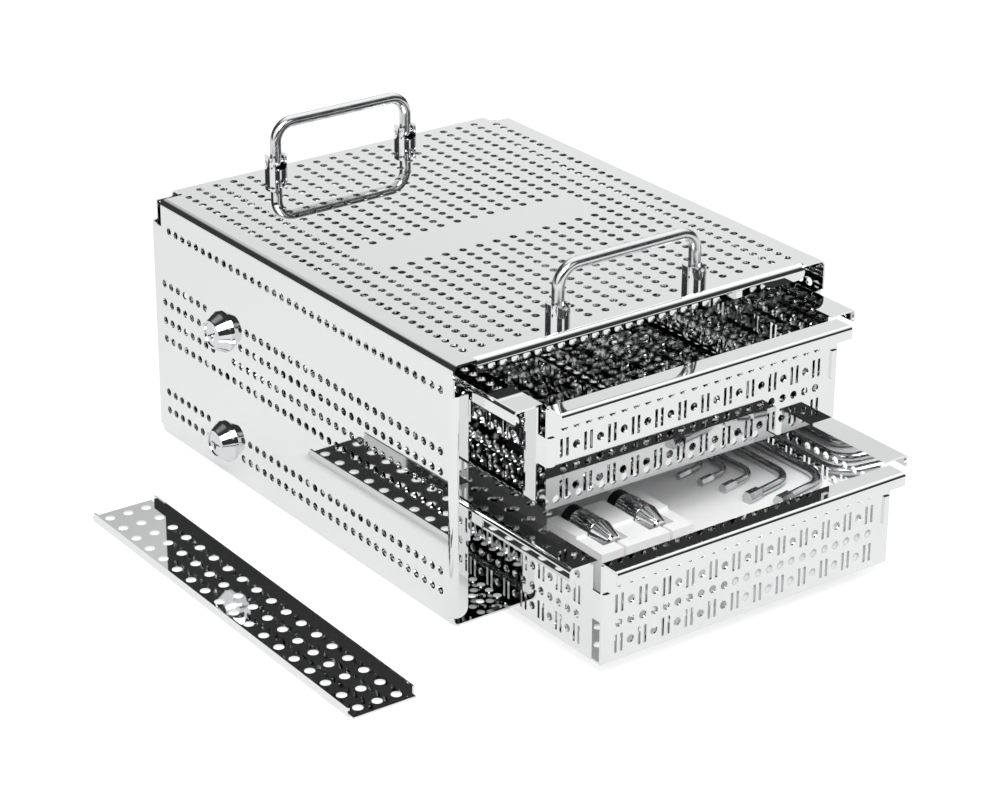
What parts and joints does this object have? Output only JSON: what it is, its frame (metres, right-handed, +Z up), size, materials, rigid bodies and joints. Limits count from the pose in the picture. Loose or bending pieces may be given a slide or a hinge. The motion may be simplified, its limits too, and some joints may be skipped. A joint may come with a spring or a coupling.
{
  "type": "perforated instrument cassette",
  "caption": "Perforated steel sterilising cassette with two sliding trays, folding wire handles, side key locks and loose tray dividers.",
  "frame": {"origin": "middle of the case's underside, on the surface it stands on", "axes": "+X to the right seen from the front, +Y to the rear, +Z up; the trays slide out along -Y"},
  "size_m": [0.3009, 0.35, 0.1586],
  "materials": {
    "top_panel": "polished stainless steel sheet",
    "left_panel": "polished stainless steel sheet",
    "right_panel": "polished stainless steel sheet",
    "floor_panel": "polished stainless steel sheet",
    "rear_panel": "polished stainless steel sheet",
    "upper_left_guide": "polished stainless steel sheet",
    "upper_right_guide": "polished stainless steel sheet",
    "lower_left_guide": "polished stainless steel sheet",
    "lower_right_guide": "polished stainless steel sheet",
    "front_left_post": "polished stainless steel",
    "front_right_post": "polished stainless steel",
    "rear_left_post": "polished stainless steel",
    "rear_right_post": "polished stainless steel",
    "front_left_pin": "plain stainless steel",
    "front_right_pin": "plain stainless steel",
    "rear_left_pin": "plain stainless steel",
    "rear_right_pin": "plain stainless steel",
    "post_screws": "plain stainless steel",
    "upper_lock_barrel": "bright plated",
    "upper_lock_nut": "plain stainless steel",
    "lower_lock_barrel": "bright plated",
    "lower_lock_nut": "plain stainless steel",
    "front_handle": "polished stainless steel",
    "rear_handle": "polished stainless steel",
    "upper_lock_core": "bright plated",
    "upper_lock_cam": "plain stainless steel",
    "upper_cam_screw": "plain stainless steel",
    "lower_lock_core": "bright plated",
    "lower_lock_cam": "plain stainless steel",
    "lower_cam_screw": "plain stainless steel",
    "upper_tray": "polished stainless steel sheet",
    "upper_catch": "polished stainless steel sheet",
    "left_divider": "polished stainless steel sheet",
    "right_divider": "polished stainless steel sheet",
    "lower_tray": "polished stainless steel sheet",
    "lower_catch": "polished stainless steel sheet",
    "insert_plate": "milled white plastic",
    "tool_block": "milled white plastic",
    "left_tool": "polished stainless steel",
    "right_tool": "polished stainless steel",
    "hex_key_1": "polished stainless steel",
    "hex_key_2": "polished stainless steel",
    "hex_key_3": "polished stainless steel",
    "hex_key_4": "polished stainless steel",
    "hex_key_5": "polished stainless steel",
    "loose_divider": "polished stainless steel sheet"
  },
  "bodies": {
    "housing": {"top_panel": "top_panel", "left_panel": "left_panel", "right_panel": "right_panel", "floor_panel": "floor_panel", "rear_panel": "rear_panel", "upper_left_guide": "upper_left_guide", "upper_right_guide": "upper_right_guide", "lower_left_guide": "lower_left_guide", "lower_right_guide": "lower_right_guide", "front_left_post": "front_left_post", "front_right_post": "front_right_post", "rear_left_post": "rear_left_post", "rear_right_post": "rear_right_post", "front_left_pin": "front_left_pin", "front_right_pin": "front_right_pin", "rear_left_pin": "rear_left_pin", "rear_right_pin": "rear_right_pin", "post_screws": "post_screws", "upper_lock_barrel": "upper_lock_barrel", "upper_lock_nut": "upper_lock_nut", "lower_lock_barrel": "lower_lock_barrel", "lower_lock_nut": "lower_lock_nut"},
    "front_handle": {"front_handle": "front_handle"},
    "rear_handle": {"rear_handle": "rear_handle"},
    "upper_lock": {"upper_lock_core": "upper_lock_core", "upper_lock_cam": "upper_lock_cam", "upper_cam_screw": "upper_cam_screw"},
    "lower_lock": {"lower_lock_core": "lower_lock_core", "lower_lock_cam": "lower_lock_cam", "lower_cam_screw": "lower_cam_screw"},
    "upper_drawer": {"upper_tray": "upper_tray", "upper_catch": "upper_catch", "left_divider": "left_divider", "right_divider": "right_divider"},
    "lower_drawer": {"lower_tray": "lower_tray", "lower_catch": "lower_catch", "insert_plate": "insert_plate", "tool_block": "tool_block", "left_tool": "left_tool", "right_tool": "right_tool", "hex_key_1": "hex_key_1", "hex_key_2": "hex_key_2", "hex_key_3": "hex_key_3", "hex_key_4": "hex_key_4", "hex_key_5": "hex_key_5"},
    "loose_divider": {"loose_divider": "loose_divider"}
  },
  "joints": [
    {"name": "front_handle_hinge", "type": "hinge", "parent": "housing", "child": "front_handle", "pos_m": [0, -0.116, 0.136], "axis": [-1, 0, 0], "range_deg": [0, 90]},
    {"name": "rear_handle_hinge", "type": "hinge", "parent": "housing", "child": "rear_handle", "pos_m": [0, 0.121, 0.136], "axis": [1, 0, 0], "range_deg": [0, 90]},
    {"name": "upper_key_turn", "type": "hinge", "parent": "housing", "child": "upper_lock", "pos_m": [-0.109, 0.0637, 0.0785], "axis": [-1, 0, 0], "range_deg": [0, 90]},
    {"name": "lower_key_turn", "type": "hinge", "parent": "housing", "child": "lower_lock", "pos_m": [-0.109, 0.0637, 0.0192], "axis": [-1, 0, 0], "range_deg": [0, 90]},
    {"name": "upper_tray_slide", "type": "slide", "parent": "housing", "child": "upper_drawer", "axis": [0, -1, 0], "range_m": [-0.047, 0.103]},
    {"name": "lower_tray_slide", "type": "slide", "parent": "housing", "child": "lower_drawer", "axis": [0, -1, 0], "range_m": [-0.088, 0.062]},
    {"name": "loose_divider_lift", "type": "slide", "parent": "housing", "child": "loose_divider", "axis": [0, 0, 1], "range_m": [0, 0.05]}
  ]
}
